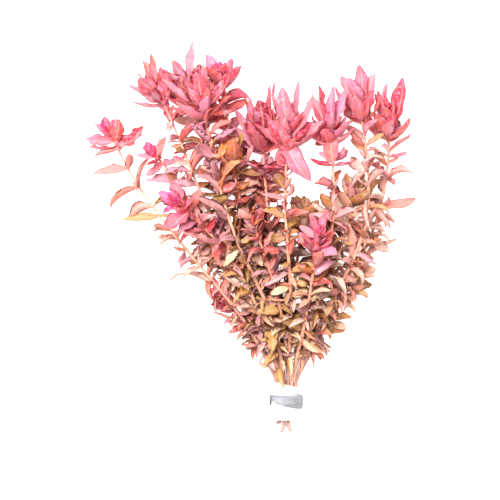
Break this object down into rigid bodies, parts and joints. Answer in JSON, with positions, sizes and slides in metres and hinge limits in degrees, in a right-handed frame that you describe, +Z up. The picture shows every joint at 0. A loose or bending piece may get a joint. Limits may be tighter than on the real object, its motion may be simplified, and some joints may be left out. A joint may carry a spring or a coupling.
{
  "type": "cut bunch of rotala aquarium plants",
  "caption": "Bunch of pink and copper rotala stems with opposite pointed leaves and cupped crowns, held by a white foam collar and a bent lead strip, lying down",
  "frame": {"origin": "centre of the flat underside of the lead strip, on the surface that the bunch lies on", "axes": "+Y along the bunch from the cut ends to the shoot tips, +Z up from the surface, +X to the right seen from above"},
  "size_m": [0.1662, 0.196, 0.0503],
  "materials": {
    "leaf_and_stem": "satin",
    "foam": "matte",
    "lead": "satin"
  },
  "bodies": {
    "root": {"shoot_far_left": "leaf_and_stem", "shoot_small_left": "leaf_and_stem", "shoot_top_left": "leaf_and_stem", "shoot_tall": "leaf_and_stem", "shoot_star": "leaf_and_stem", "shoot_behind": "leaf_and_stem", "shoot_left_centre": "leaf_and_stem", "shoot_centre": "leaf_and_stem", "shoot_heart": "leaf_and_stem", "shoot_upper_right": "leaf_and_stem", "shoot_right": "leaf_and_stem", "shoot_rosette": "leaf_and_stem", "shoot_left_mid": "leaf_and_stem", "shoot_low_bud": "leaf_and_stem", "shoot_inner_left": "leaf_and_stem", "shoot_inner_right": "leaf_and_stem", "shoot_low_left": "leaf_and_stem", "shoot_back_centre": "leaf_and_stem", "shoot_low_right": "leaf_and_stem", "shoot_left_lower": "leaf_and_stem", "shoot_back_right": "leaf_and_stem", "shoot_under_heart": "leaf_and_stem", "foam_collar": "foam", "lead_strip": "lead"}
  },
  "joints": []
}
